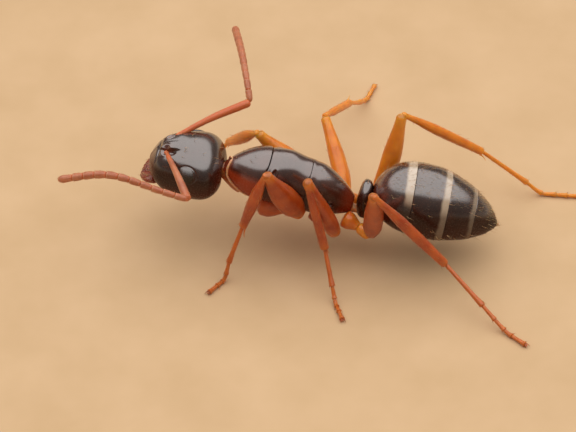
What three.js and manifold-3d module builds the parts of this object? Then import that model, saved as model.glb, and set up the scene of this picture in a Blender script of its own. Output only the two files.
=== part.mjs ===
// Carpenter ant worker, life size, standing. Millimetres, +Z up, head towards -Y, the ant's left side is +X,
// and the floor under the feet is Z = 0.
import * as THREE from 'three';
import { mergeGeometries, mergeVertices } from 'three/addons/utils/BufferGeometryUtils.js';
import Module from 'manifold-3d';

const wasm = await Module();
wasm.setup();

// ---- driving dimensions (mm, degrees) ----
const GAP = 0.04;                 // thin cut between neighbouring parts
const LEG_RADIUS = 0.25;          // thinnest leg and feeler rod in the solids
const FEELER_RADIUS = 0.25;
const ROD_SIDES = 8;

const HEAD = { length: 2.19, width: 2.07, top: 0.96, bottom: 0.73, centre: [0.02, -3.035, 2.355] };
const HEAD_TURN = { pitch: 4, roll: -2, yaw: -3 };
const HEAD_WIDEST = -0.42;        // along the head, -1 at the nape and 1 at the jaws
const HEAD_TAPER = { sides: 0.38, face: 0.5, throat: 0.3 };
const SOCKET = { along: 0.5, side: 0.285, up: 0.79 };
const EYE = { along: -0.17, side: 0.815, up: 0.44, long: 0.3, wide: 0.26, deep: 0.19 };
const EYE_OUT = { side: 0.87, up: 0.49 };
// Points of a mandible: along from the front of the head, to the side, up; and its radius at both ends.
const MANDIBLE = {
  base: [-0.25, 0.4, -0.26],
  bend: [0.08, 0.38, -0.34],
  tip: [0.2, 0.24, -0.42],
  radii: [0.26, 0.2],
};
const TRUNK = { neck: [0, -1.92, 2.46], rear: [0, 1.74, 1.55] };
const NECK = { from: -0.42, to: 0.5, radius: 0.26 };    // along the trunk, measured from its front
const PETIOLE = { foot: [0, 2.05, 1.1], height: 1.24, half: 0.42, thick: 0.26, lean: 5 };
const WAIST = { points: [[0, 1.6, 1.42], [0, 2.0, 1.4], [0, 2.62, 1.56]], radius: 0.25 };
const GASTER = { front: [0, 2.28, 2.05], tip: [-0.14, 5.87, 1.1], half: 1.09, top: 1.23, bottom: 0.76 };
const SEGMENT_ENDS = [0, 0.305, 0.586, 0.803, 0.93, 1];
const SEGMENT_SLANT = 0.1;        // how far the edges of the gaster's rings lean forward at the top

// Lengths of the leg parts for the fore, middle and hind pair.
const LEG_LENGTHS = {
  fore: { femur: 2.2, tibia: 1.95, chord: 1.95 },
  mid: { femur: 2.5, tibia: 2.27, chord: 1.95 },
  hind: { femur: 2.95, tibia: 3.2, chord: 3.1 },
};
// Each pair hangs from the trunk at its root, and a femur starts at "hip".
// Yaw is turned from straight out to the side (positive to the rear) and pitch is above the level.
const ROOTS = { fore: [0.4, -0.95, 1.64], mid: [0.38, 0.62, 1.5], hind: [0.36, 1.5, 1.28] };
const LEGS = [
  { side: 1, pair: 'fore', hip: [0.6, 0.35, 1.48], femur: [-59.1, 59.1], tibia: [-64, -69], foot: -32 },
  { side: 1, pair: 'mid', hip: [0.82, 1.39, 1.02], femur: [-63.5, 67.9], tibia: [52, -70], foot: 24 },
  { side: 1, pair: 'hind', hip: [0.63, 2.33, 0.94], femur: [9.1, 63.8], tibia: [92, -49], foot: 54,
    arch: 0.56 },
  { side: -1, pair: 'fore', hip: [0.99, 0.41, 1.44], femur: [-88.8, 44.1], tibia: [-45.8, -43.2], foot: -80 },
  { side: -1, pair: 'mid', hip: [0.91, 1.45, 0.98], femur: [-25, 30], tibia: [14, -28], foot: 13,
    chord: 2.35 },
  { side: -1, pair: 'hind', hip: [0.73, 2.3, 0.85], femur: [31, 66], tibia: [67, -39], foot: 88,
    chord: 3.25, arch: 0.37, level: 1.1 },
];
const TROCHANTER_LENGTH = 0.42;
const FINEST = 0.005;             // edges shorter than this, left by the cuts, are merged
const FOOT_AXIS = 0.15;           // height of the last tarsal joint's axis
const FOOT_LENGTH = 0.5;          // "level", the last stretch, which lies level on the floor
const FOOT_ARCH = 0.45;           // "arch", share of the ankle's height left at the bend before it
const BEND_AT = 0.42;             // share of the foot's reach from the ankle to that bend

// Elbow, bends and tip of each antenna.
const ANTENNAE = [
  { name: 'l', socket: 1, elbow: [2.32, -2.66, 3.16], bend: [[2.3, -3.4, 3.36], [2.24, -4.9, 3.74]],
    tip: [2.25, -6.36, 3.4] },
  { name: 'r', socket: -1, elbow: [-1.62, -1.47, 3.58], bend: [[-2.1, -1.62, 3.86], [-3.5, -2.0, 3.86]],
    tip: [-5.0, -2.42, 3.5] },
];

const BLACK = [0x1c100c, 0.28];
const DARK = [0x2a140e, 0.3];
const RED_BROWN = [0x5a2212, 0.35];
const AMBER = [0x9a4a12, 0.38];
const FEELER = [0x7a4030, 0.45];

const v3 = (p) => new THREE.Vector3(p[0], p[1], p[2]);
const rad = (degrees) => THREE.MathUtils.degToRad(degrees);
const signedPower = (value, power) => Math.sign(value) * Math.abs(value) ** power;

// ---- closed bodies from rings of points ----
function closedLoft(rings) {
  const sides = rings[0].length;
  const points = [];
  const index = [];
  for (const ring of rings) {
    for (const p of ring) {
      points.push(p.x, p.y, p.z);
    }
  }
  const centre = (ring) => {
    const sum = new THREE.Vector3();
    ring.forEach((p) => sum.add(p));
    return sum.divideScalar(sides);
  };
  const first = centre(rings[0]);
  const last = centre(rings.at(-1));
  points.push(first.x, first.y, first.z, last.x, last.y, last.z);
  const poleA = rings.length * sides;
  const poleB = poleA + 1;
  for (let i = 0; i < sides; i += 1) {
    const j = (i + 1) % sides;
    index.push(poleA, j, i);
    for (let r = 0; r < rings.length - 1; r += 1) {
      const a = r * sides;
      const b = a + sides;
      index.push(a + i, a + j, b + j, a + i, b + j, b + i);
    }
    const end = (rings.length - 1) * sides;
    index.push(poleB, end + i, end + j);
  }
  return solidOf(points, index);
}

function solidOf(points, index) {
  const vertProperties = new Float32Array(points);
  const triVerts = new Uint32Array(index);
  let solid = new wasm.Manifold(new wasm.Mesh({ numProp: 3, vertProperties, triVerts }));
  if (solid.volume() < 0) {
    const turned = [];
    for (let i = 0; i < index.length; i += 3) {
      turned.push(index[i], index[i + 2], index[i + 1]);
    }
    solid = solidOf(points, turned);
  }
  return solid;
}

function solidOfGeometry(geometry) {
  const bare = geometry.index ? geometry.toNonIndexed() : geometry;
  bare.deleteAttribute('normal');
  bare.deleteAttribute('uv');
  const merged = mergeVertices(mergeGeometries([bare]), 1e-5);
  return solidOf(merged.attributes.position.array, merged.index.array);
}

// Superellipse section of half-width w, height up and depth down in the plane of two axes.
function section(origin, across, upward, w, up, down, sides, power = 2.2) {
  const ring = [];
  for (let i = 0; i < sides; i += 1) {
    const angle = (i / sides) * Math.PI * 2;
    const c = signedPower(Math.cos(angle), 2 / power);
    const s = signedPower(Math.sin(angle), 2 / power);
    const lift = (s > 0 ? up : down) * s;
    ring.push(origin.clone().addScaledVector(across, w * c).addScaledVector(upward, lift));
  }
  return ring;
}

// A body along a straight chord; profile(t) gives half-width, height above and depth below the chord.
function chordBody(frame, length, from, to, profile, steps, sides, grow, power) {
  const rings = [];
  for (let i = 0; i <= steps; i += 1) {
    const mix = 0.5 - 0.5 * Math.cos((Math.PI * i) / steps);
    const t = from + (to - from) * mix;
    const p = profile(t);
    const slide = (mix - 0.5) * 2 * grow;
    const origin = frame.origin.clone().addScaledVector(frame.along, t * length + slide);
    const [w, up, down] = [p.w + grow, p.up + grow, p.down + grow];
    rings.push(section(origin, frame.across, frame.upward, w, up, down, sides, power));
  }
  return closedLoft(rings);
}

function frameBetween(a, b, roll = 0) {
  const along = b.clone().sub(a).normalize();
  const across = new THREE.Vector3().crossVectors(along, new THREE.Vector3(0, 0, 1)).normalize();
  if (across.x < 0) {
    across.negate();
  }
  const upward = new THREE.Vector3().crossVectors(across, along);
  if (upward.z < 0) {
    upward.negate();
  }
  const turn = new THREE.Quaternion().setFromAxisAngle(along, roll);
  across.applyQuaternion(turn);
  upward.applyQuaternion(turn);
  return { origin: a.clone(), along, across, upward, length: a.distanceTo(b) };
}

// A rod along a smooth path with rounded ends; radius(t) along the path.
function rod(path, radius, grow, stations = 4, sides = ROD_SIDES) {
  const points = path.map((p) => p.clone());
  points[0].addScaledVector(path[0].clone().sub(path[1]).normalize(), grow);
  points[points.length - 1].addScaledVector(path.at(-1).clone().sub(path.at(-2)).normalize(), grow);
  const curve = new THREE.CatmullRomCurve3(points, false, 'centripetal');
  const length = curve.getLength();
  const capAt = (t) => radius(t) + grow;
  const [firstCap, lastCap] = [0, 1].map((t) => Math.min((0.8 * capAt(t)) / length, 0.4));
  const marks = [0.25 * firstCap];
  for (let i = 0; i <= stations; i += 1) {
    marks.push(firstCap + ((1 - lastCap - firstCap) * i) / stations);
  }
  marks.push(1 - 0.25 * lastCap);
  let upward = new THREE.Vector3(0.13, 0.29, 1).normalize();
  const rings = marks.map((t) => {
    const along = curve.getTangentAt(t);
    const across = new THREE.Vector3().crossVectors(along, upward).normalize();
    upward = new THREE.Vector3().crossVectors(across, along).normalize();
    const edge = Math.min(t / firstCap, (1 - t) / lastCap, 1);
    const r = capAt(t) * Math.sqrt(1 - (1 - edge) ** 2);
    return section(curve.getPointAt(t), across, upward, r, r, r, sides, 2);
  });
  return closedLoft(rings);
}

// ---- the ant's parts, each as a function of how much it is grown ----
const parts = [];
const addPart = (name, look, make) => parts.push({ name, look, make });

// Head frame: "along" points to the jaws, "upward" to the face.
function headFrame() {
  const pitch = rad(HEAD_TURN.pitch);
  const forward = v3([0, -Math.cos(pitch), -Math.sin(pitch)]);
  const axes = [forward, v3([1, 0, 0]), v3([0, -Math.sin(pitch), Math.cos(pitch)])];
  const turn = new THREE.Quaternion().setFromAxisAngle(new THREE.Vector3(0, 0, 1), rad(HEAD_TURN.yaw));
  turn.multiply(new THREE.Quaternion().setFromAxisAngle(forward, rad(HEAD_TURN.roll)));
  const [along, across, upward] = axes.map((axis) => axis.clone().applyQuaternion(turn));
  return { origin: v3(HEAD.centre), along, across, upward };
}
const head = headFrame();
const inHead = (along, side, up) => head.origin.clone().addScaledVector(head.along, along)
  .addScaledVector(head.across, side).addScaledVector(head.upward, up);

// Widest behind the eyes with broad, rounded hind corners, narrowing towards the jaws.
function headProfile(t) {
  const s = (t - 0.5) * 2;
  const share = (from, to) => Math.min(1, Math.max(0, (s - from) / (to - from)));
  const nape = Math.max(0, 1 - share(HEAD_WIDEST, -1) ** 2.6) ** (1 / 2.3);
  const crown = Math.max(0, 1 - share(-0.1, -1) ** 2.4) ** (1 / 2.2);
  const face = Math.max(0, 1 - share(0, 1) ** 7) ** 0.5;
  const w = (HEAD.width / 2) * nape * (1 - HEAD_TAPER.sides * share(HEAD_WIDEST, 1) ** 1.7) * face;
  const up = HEAD.top * crown * (1 - HEAD_TAPER.face * share(-0.1, 1) ** 2.6) * face;
  const down = HEAD.bottom * crown * (1 - HEAD_TAPER.throat * share(-0.1, 1) ** 1.9) * face;
  return { w, up, down };
}

function ellipsoid(centre, axes, radii, grow, detail = 10) {
  const ball = new THREE.SphereGeometry(1, detail, Math.round(detail * 0.7));
  const basis = new THREE.Matrix4().makeBasis(
    axes[0].clone().multiplyScalar(radii[0] + grow),
    axes[1].clone().multiplyScalar(radii[1] + grow),
    axes[2].clone().multiplyScalar(radii[2] + grow),
  );
  ball.applyMatrix4(basis);
  ball.translate(centre.x, centre.y, centre.z);
  return solidOfGeometry(ball);
}

for (const [tag, side] of [['l', 1], ['r', -1]]) {
  addPart(`eye_${tag}`, BLACK, (grow) => {
    const outward = head.across.clone().multiplyScalar(side * EYE_OUT.side)
      .addScaledVector(head.upward, EYE_OUT.up).normalize();
    const lift = new THREE.Vector3().crossVectors(head.along, outward).normalize();
    return ellipsoid(inHead(EYE.along, side * EYE.side, EYE.up), [head.along, lift, outward],
      [EYE.long, EYE.wide, EYE.deep], grow);
  });
}

addPart('head', BLACK, (grow) => {
  const frame = { ...head, origin: head.origin.clone().addScaledVector(head.along, -HEAD.length / 2) };
  return chordBody(frame, HEAD.length, 0.004, 0.996, headProfile, 11, 18, grow, 2.25);
});

for (const [tag, side] of [['l', 1], ['r', -1]]) {
  addPart(`mandible_${tag}`, RED_BROWN, (grow) => {
    const path = [MANDIBLE.base, MANDIBLE.bend, MANDIBLE.tip]
      .map(([along, out, up]) => inHead(HEAD.length / 2 + along, side * out, up));
    const [root, point] = MANDIBLE.radii;
    return rod(path, (t) => root + (point - root) * t, grow, 5);
  });
}

// Trunk: one profile cut into pronotum, mesothorax and propodeum.
const trunk = frameBetween(v3(TRUNK.neck), v3(TRUNK.rear));
function bump(t, at, wide) {
  return Math.exp(-(((t - at) / wide) ** 2));
}
function shareOf(t, from, to) {
  return Math.min(1, Math.max(0, (t - from) / (to - from)));
}
function trunkProfile(t) {
  const rise = 1 - shareOf(t, 0.27, -0.03) ** 2;
  const fall = (1 - shareOf(t, 0.7, 1.02) ** 2) ** 0.9;
  const belly = (1 - shareOf(t, 0.27, -0.05) ** 2) ** 0.8 * (1 - shareOf(t, 0.84, 1.06) ** 2) ** 0.6;
  const up = 0.1 + rise * fall * (0.735 + 0.31 * bump(t, 0.5, 0.22) - 0.1 * bump(t, 0.56, 0.09));
  const down = 0.08 + 0.42 * belly;
  const w = 0.16 + rise * (0.556 * bump(t, 0.22, 0.32) + 0.462 * bump(t, 0.7, 0.32) * fall);
  return { w, up, down };
}
const TRUNK_CUTS = [
  ['pronotum', -0.02, 0.3, RED_BROWN],
  ['mesothorax', 0.3, 0.62, BLACK],
  ['propodeum', 0.62, 1, BLACK],
];
for (const [name, from, to, look] of TRUNK_CUTS) {
  addPart(name, look, (grow) => {
    const body = chordBody(trunk, trunk.length, from, to, trunkProfile, 5, 18, grow, 2.15);
    if (name !== 'pronotum') {
      return body;
    }
    const neckPoint = (distance) => v3(TRUNK.neck).addScaledVector(trunk.along, distance);
    const neck = [neckPoint(NECK.from), neckPoint(NECK.to)];
    return body.add(rod(neck, () => NECK.radius, grow, 2));
  });
}

// Petiole: an upright scale on a short stalk.
addPart('petiole', BLACK, (grow) => {
  const foot = v3(PETIOLE.foot);
  const lean = rad(PETIOLE.lean);
  const upward = new THREE.Vector3(0, Math.sin(lean), Math.cos(lean));
  const across = new THREE.Vector3(1, 0, 0);
  const thin = new THREE.Vector3().crossVectors(upward, across);
  const rings = [];
  const steps = 7;
  for (let i = 0; i <= steps; i += 1) {
    const t = i / steps;
    const round = Math.sqrt(Math.max(0.02, 1 - shareOf(t, 0.7, 1) ** 2.4));
    const w = PETIOLE.half * (0.55 + 0.45 * Math.sin(Math.min(1, t * 1.5) * (Math.PI / 2))) * round;
    const d = PETIOLE.thick * (0.95 - 0.25 * t ** 2) * Math.sqrt(round);
    const slide = (t - 0.5) * 2 * grow;
    const middle = foot.clone().addScaledVector(upward, t * PETIOLE.height + slide);
    rings.push(section(middle, across, thin, w + grow, d + grow, d + grow, 14, 2));
  }
  const stalk = rod(WAIST.points.map(v3), () => WAIST.radius, grow, 3);
  return closedLoft(rings).add(stalk);
});

// Gaster: one egg-shaped profile cut into five rings.
const gaster = frameBetween(v3(GASTER.front), v3(GASTER.tip));
function gasterProfile(t) {
  const peak = 0.43;
  const front = Math.min(1, Math.max(0, (peak - t) / peak));
  const rear = Math.max(0, (t - peak) / (1 - peak));
  const size = Math.max(0.02, 1 - front ** 2.7) ** 0.5 * Math.max(0.003, 1 - rear ** 1.75) ** 0.66;
  return { w: GASTER.half * size, up: GASTER.top * size, down: GASTER.bottom * size };
}
const GASTER_RING = gaster.along.clone().addScaledVector(gaster.upward, SEGMENT_SLANT).normalize();
for (let i = 0; i < 5; i += 1) {
  addPart(`gaster_${i + 1}`, BLACK, (grow) => {
    const whole = chordBody(gaster, gaster.length, 0.006, 0.996, gasterProfile, 16, 20, grow, 2.05);
    const ringPoint = (t) => gaster.origin.clone().addScaledVector(gaster.along, t * gaster.length);
    const offset = (t) => ringPoint(t).dot(GASTER_RING);
    const forward = GASTER_RING.clone().negate().toArray();
    const after = i === 0 ? whole : whole.trimByPlane(GASTER_RING.toArray(), offset(SEGMENT_ENDS[i]) - grow);
    return i === 4 ? after : after.trimByPlane(forward, -offset(SEGMENT_ENDS[i + 1]) - grow);
  });
}

// ---- legs ----
function direction(side, [yaw, pitch]) {
  const flat = Math.cos(rad(pitch));
  return new THREE.Vector3(side * flat * Math.cos(rad(yaw)), flat * Math.sin(rad(yaw)), Math.sin(rad(pitch)));
}
function legJoints(leg) {
  const lengths = LEG_LENGTHS[leg.pair];
  const mirror = (p) => new THREE.Vector3(p[0] * leg.side, p[1], p[2]);
  const root = mirror(ROOTS[leg.pair]);
  const hip = mirror(leg.hip);
  const coxaEnd = hip.clone().addScaledVector(root.clone().sub(hip).normalize(), TROCHANTER_LENGTH);
  const knee = hip.clone().addScaledVector(direction(leg.side, leg.femur), lengths.femur);
  const ankle = knee.clone().addScaledVector(direction(leg.side, leg.tibia), lengths.tibia);
  const drop = ankle.z - FOOT_AXIS;
  const reach = Math.sqrt((leg.chord ?? lengths.chord) ** 2 - drop ** 2);
  const outward = direction(leg.side, [leg.foot, 0]);
  const sole = ankle.clone().addScaledVector(outward, reach);
  sole.z = FOOT_AXIS;
  const bend = ankle.clone().addScaledVector(outward, reach * BEND_AT);
  bend.z = FOOT_AXIS + drop * (leg.arch ?? FOOT_ARCH);
  const heel = ankle.clone().addScaledVector(outward, reach - (leg.level ?? FOOT_LENGTH));
  heel.z = FOOT_AXIS + 0.02;
  return { root, coxaEnd, hip, knee, ankle, bend, heel, sole };
}
const COXA_RADIUS = { fore: 0.42, mid: 0.3, hind: 0.3 };
const FEMUR_RADIUS = { fore: 0.35, mid: 0.27, hind: 0.28 };
for (const leg of LEGS) {
  const tag = `${leg.side > 0 ? 'l' : 'r'}_${leg.pair}`;
  const j = legJoints(leg);
  const wide = COXA_RADIUS[leg.pair];
  const swell = FEMUR_RADIUS[leg.pair] - LEG_RADIUS;
  const tarsus = new THREE.CatmullRomCurve3([j.ankle, j.bend, j.heel, j.sole], false, 'centripetal');
  const piece = (from, to) => [0, 1, 2, 3].map((i) => tarsus.getPointAt(from + ((to - from) * i) / 3));
  addPart(`${tag}_trochanter`, RED_BROWN, (grow) =>
    rod([j.coxaEnd, j.hip], () => LEG_RADIUS + 0.02, grow, 2));
  addPart(`${tag}_coxa`, RED_BROWN, (grow) =>
    rod([j.root, j.coxaEnd], (t) => wide - (wide - 0.26) * t, grow, 3));
  addPart(`${tag}_femur`, AMBER, (grow) =>
    rod([j.hip, j.knee], (t) => LEG_RADIUS + swell * Math.sin(Math.PI * t ** 0.8), grow, 4));
  addPart(`${tag}_tibia`, AMBER, (grow) => rod([j.knee, j.ankle], () => LEG_RADIUS, grow, 2));
  addPart(`${tag}_basitarsus`, AMBER, (grow) => rod(piece(0, 0.47), () => LEG_RADIUS, grow, 2));
  addPart(`${tag}_tarsus`, AMBER, (grow) => rod(piece(0.47, 1), () => LEG_RADIUS, grow, 3));
}

// ---- antennae ----
for (const feeler of ANTENNAE) {
  const socket = inHead(SOCKET.along, feeler.socket * SOCKET.side, SOCKET.up);
  const elbow = v3(feeler.elbow);
  const sag = socket.clone().lerp(elbow, 0.5).addScaledVector(head.upward, 0.08);
  const whipPoints = [elbow, ...feeler.bend.map(v3), v3(feeler.tip)];
  const whip = new THREE.CatmullRomCurve3(whipPoints, false, 'centripetal');
  const piece = (from, to) => [0, 1, 2, 3].map((i) => whip.getPointAt(from + ((to - from) * i) / 3));
  const lengths = [
    [`scape_${feeler.name}`, [socket, sag, elbow]],
    [`funiculus_${feeler.name}_inner`, piece(0, 0.5)],
    [`funiculus_${feeler.name}_outer`, piece(0.5, 1)],
  ];
  for (const [name, path] of lengths) {
    addPart(name, FEELER, (grow) => rod(path, () => FEELER_RADIUS, grow, 5));
  }
}

// ---- cut each part clear of the ones before it, and of the floor ----
function overlaps(a, b) {
  const p = a.boundingBox();
  const q = b.boundingBox();
  return [0, 1, 2].every((i) => p.min[i] < q.max[i] && q.min[i] < p.max[i]);
}
const slab = new THREE.BoxGeometry(60, 60, 10);
slab.translate(0, 0, -5);
const floor = solidOfGeometry(slab);

const group = new THREE.Group();
group.name = 'carpenter_ant';
const grown = [];
for (const { name, look, make } of parts) {
  let solid = make(0);
  for (const other of grown) {
    if (overlaps(solid, other)) {
      solid = solid.subtract(other);
    }
  }
  solid = solid.subtract(floor);
  const pieces = solid.decompose().sort((a, b) => b.volume() - a.volume());
  solid = pieces[0].simplify(FINEST);
  grown.push(make(GAP));
  const { vertProperties, triVerts, numProp } = solid.getMesh();
  const geometry = new THREE.BufferGeometry();
  const positions = [];
  for (let i = 0; i < vertProperties.length; i += numProp) {
    const height = vertProperties[i + 2];
    positions.push(vertProperties[i], vertProperties[i + 1], Math.abs(height) < 2 * FINEST ? 0 : height);
  }
  geometry.setAttribute('position', new THREE.Float32BufferAttribute(positions, 3));
  geometry.setIndex(Array.from(triVerts));
  geometry.computeVertexNormals();
  const material = new THREE.MeshStandardMaterial({ color: look[0], roughness: look[1], metalness: 0 });
  const mesh = new THREE.Mesh(geometry, material);
  mesh.name = name;
  group.add(mesh);
}

// The origin is on the floor under the middle of the whole box.
const box = new THREE.Box3().setFromObject(group);
const middle = box.getCenter(new THREE.Vector3());
for (const mesh of group.children) {
  mesh.geometry.translate(-middle.x, -middle.y, 0);
}

export default group;
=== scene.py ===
"""Carpenter ant worker, life size and still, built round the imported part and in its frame.

Shapes are worked out in millimetres in the ant's own frame: +Z up, head towards -Y, the ant's left side
is +X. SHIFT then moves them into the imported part's frame.
"""
import math
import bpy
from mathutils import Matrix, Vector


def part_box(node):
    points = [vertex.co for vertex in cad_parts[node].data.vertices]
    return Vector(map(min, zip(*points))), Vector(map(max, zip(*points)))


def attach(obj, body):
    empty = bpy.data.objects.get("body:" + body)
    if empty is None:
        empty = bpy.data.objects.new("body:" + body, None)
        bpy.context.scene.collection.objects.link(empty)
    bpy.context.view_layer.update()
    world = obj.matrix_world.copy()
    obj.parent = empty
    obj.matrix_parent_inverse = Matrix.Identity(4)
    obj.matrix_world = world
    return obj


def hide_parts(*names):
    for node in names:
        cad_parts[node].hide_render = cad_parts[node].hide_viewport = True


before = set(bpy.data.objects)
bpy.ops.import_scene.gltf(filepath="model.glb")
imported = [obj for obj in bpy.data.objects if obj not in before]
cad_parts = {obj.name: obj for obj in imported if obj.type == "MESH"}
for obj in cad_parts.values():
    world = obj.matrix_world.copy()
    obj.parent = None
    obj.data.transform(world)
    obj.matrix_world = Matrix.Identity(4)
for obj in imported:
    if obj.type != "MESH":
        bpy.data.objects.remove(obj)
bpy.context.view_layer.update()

from types import SimpleNamespace as Named

import bpy
import numpy as np
from mathutils import Matrix, Quaternion, Vector

MM = 0.001
TAU = 2 * math.pi
draw = np.random.default_rng(11)  # every random choice comes from here


# ---- driving dimensions (mm, degrees), the same as the part's ----
HEAD = Named(length=2.19, width=2.07, top=0.96, bottom=0.73, centre=(0.02, -3.035, 2.355),
             pitch=4, roll=-2, yaw=-3)
HEAD_WIDEST = -0.42  # from -1 at the nape to 1 at the jaws
HEAD_TAPER = Named(sides=0.38, face=0.5, throat=0.3)
SOCKET = (0.5, 0.285, 0.79)  # along the head, to the side, up
EYE = Named(along=-0.17, side=0.815, up=0.44, long=0.3, wide=0.26, deep=0.19)
EYE_OUT = (0, 0.87, 0.49)  # the way the left eye faces, in the head
TRUNK_NECK = (0, -1.92, 2.46)
TRUNK_REAR = (0, 1.74, 1.55)
PETIOLE = Named(foot=(0, 2.05, 1.1), height=1.24, half=0.42, thick=0.26, lean=5)
GASTER = Named(front=(0, 2.28, 2.05), tip=(-0.14, 5.87, 1.1), half=1.09, top=1.23, bottom=0.76)
SEGMENT_ENDS = (0, 0.305, 0.586, 0.803, 0.93, 1)
SEGMENT_SLANT = 0.1  # how far the edges of the gaster's rings lean forward at the top
LEG_LENGTHS = dict(fore=(2.2, 1.95, 1.95), mid=(2.5, 2.27, 1.95), hind=(2.95, 3.2, 3.1))
ROOTS = dict(fore=(0.4, -0.95, 1.64), mid=(0.38, 0.62, 1.5), hind=(0.36, 1.5, 1.28))
LEGS = (
    dict(side=1, pair="fore", hip=(0.6, 0.35, 1.48), femur=(-59.1, 59.1), tibia=(-64, -69), foot=-32),
    dict(side=1, pair="mid", hip=(0.82, 1.39, 1.02), femur=(-63.5, 67.9), tibia=(52, -70), foot=24),
    dict(side=1, pair="hind", hip=(0.63, 2.33, 0.94), femur=(9.1, 63.8), tibia=(92, -49), foot=54, arch=0.56),
    dict(side=-1, pair="fore", hip=(0.99, 0.41, 1.44), femur=(-88.8, 44.1), tibia=(-45.8, -43.2), foot=-80),
    dict(side=-1, pair="mid", hip=(0.91, 1.45, 0.98), femur=(-25, 30), tibia=(14, -28), foot=13, chord=2.35),
    dict(side=-1, pair="hind", hip=(0.73, 2.3, 0.85), femur=(31, 66), tibia=(67, -39), foot=88, chord=3.25,
         arch=0.37, level=1.1),
)
TROCHANTER_LENGTH = 0.42
FOOT_AXIS = 0.15
FOOT_LENGTH = 0.5  # "level", the last stretch of a foot, which lies level on the floor
FOOT_ARCH = 0.45  # "arch", share of the ankle's height left at the bend before it
BEND_AT = 0.42  # share of the foot's reach from the ankle to that bend
ANTENNAE = (
    dict(name="l", socket=1, elbow=(2.32, -2.66, 3.16), bend=((2.3, -3.4, 3.36), (2.24, -4.9, 3.74)),
         tip=(2.25, -6.36, 3.4)),
    dict(name="r", socket=-1, elbow=(-1.62, -1.47, 3.58), bend=((-2.1, -1.62, 3.86), (-3.5, -2.0, 3.86)),
         tip=(-5.0, -2.42, 3.5)),
)


# ---- dimensions of the skin alone ----
SOLE_HEIGHT = 0.0785  # of a resting foot's axis, so that its lowest pad just meets the floor
COXA_RADIUS = dict(fore=0.40, mid=0.28, hind=0.27)
FEMUR_RADIUS = dict(fore=0.36, mid=0.26, hind=0.28)
TIBIA_RADIUS = dict(fore=0.185, mid=0.13, hind=0.16)
HIP_RADIUS = 0.15  # of coxa and femur, next to the trochanter
TARSOMERES = (0, 0.47, 0.63, 0.75, 0.84, 1)
WHIP_JOINTS = 11  # of a feeler beyond its elbow
INNER_JOINTS = 6  # of these, how many are in the inner piece
SQUARENESS = Named(head=2.25, trunk=2.15, gaster=2.05, petiole=2.0)  # of cross-sections; 2 is an ellipse


# ---- small mathematics ----
def share(x, low, high):
    return np.clip((x - low) / (high - low), 0, 1)


def ease(x, low, high):
    t = share(x, low, high)
    return t * t * (3 - 2 * t)


def bump(x, at, wide):
    return np.exp(-(((x - at) / wide) ** 2))


def unit(v):
    v = np.asarray(v, float)
    return v / np.maximum(np.linalg.norm(v, axis=-1, keepdims=True), 1e-12)


def spread(n, low=0.0, high=1.0):
    """n stations from low to high, closer together at both ends."""
    return low + (high - low) * (0.5 - 0.5 * np.cos(np.linspace(0, math.pi, n)))


def turns(n):
    """n angles, evenly round a circle."""
    return np.linspace(0, TAU, n, endpoint=False)


def dome(t, cap_a, cap_b=None):
    """1 along a rod, falling to 0 as a round end within cap_a of its start and cap_b of its end."""
    edge = np.minimum(1, np.minimum(t / cap_a, (1 - t) / (cap_b or cap_a)))
    return np.sqrt(np.maximum(0, 1 - (1 - edge) ** 2))


class Axes:
    """A local frame: along, across and upward from an origin."""

    def __init__(self, origin, along, across, upward):
        self.origin = np.array(origin, float)
        self.axes = np.array([along, across, upward], float)

    def place(self, local):
        return self.origin + np.asarray(local, float) @ self.axes

    @classmethod
    def between(cls, a, b):
        along = unit(np.subtract(b, a))
        across = unit(np.cross(along, (0, 0, 1)))
        across = across if across[0] >= 0 else -across
        upward = np.cross(across, along)
        return cls(a, along, across, upward if upward[2] >= 0 else -upward)


def head_axes():
    pitch = math.radians(HEAD.pitch)
    along = Vector((0, -math.cos(pitch), -math.sin(pitch)))
    turn = Quaternion((0, 0, 1), math.radians(HEAD.yaw)) @ Quaternion(along, math.radians(HEAD.roll))
    axes = [along, Vector((1, 0, 0)), Vector((0, -math.sin(pitch), math.cos(pitch)))]
    return Axes(HEAD.centre, *[turn @ axis for axis in axes])


head = head_axes()
eye_low, eye_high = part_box("eye_l")
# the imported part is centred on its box, and its left eye tells how far that is from the ant's own frame
SHIFT = np.array((eye_low + eye_high) / 2) / MM - head.place((EYE.along, EYE.side, EYE.up))
SHIFT[2] = 0  # both frames have their floor at 0

TOP_GLOSS_RANGE = (0.3, 0.62)  # upward share of a surface's normal, from no clear coat below to full gloss above: painted shade made with gloss, keeping undersides dark
LIMB_UP = (0.13, 0.29, 1)  # no limb runs along this, so the rings of any limb can start from it


# ---- meshes from grids of points ----
def grid_normals(grid):
    """Outward normals of a grid of rings that close on themselves."""
    down = np.gradient(grid, axis=0)
    around = np.roll(grid, -1, 1) - np.roll(grid, 1, 1)
    normal = unit(np.cross(around, down))
    outward = grid - grid.mean(axis=1, keepdims=True)
    return normal * np.where((normal * outward).sum() < 0, -1, 1)


def add_layer(mesh, label, values):
    layer = mesh.attributes.new(label, "FLOAT", "POINT")
    layer.data.foreach_set("value", values.astype(np.float32))


def add_object(name, data):
    thing = bpy.data.objects.new(name, data)
    bpy.context.scene.collection.objects.link(thing)
    return thing


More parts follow.
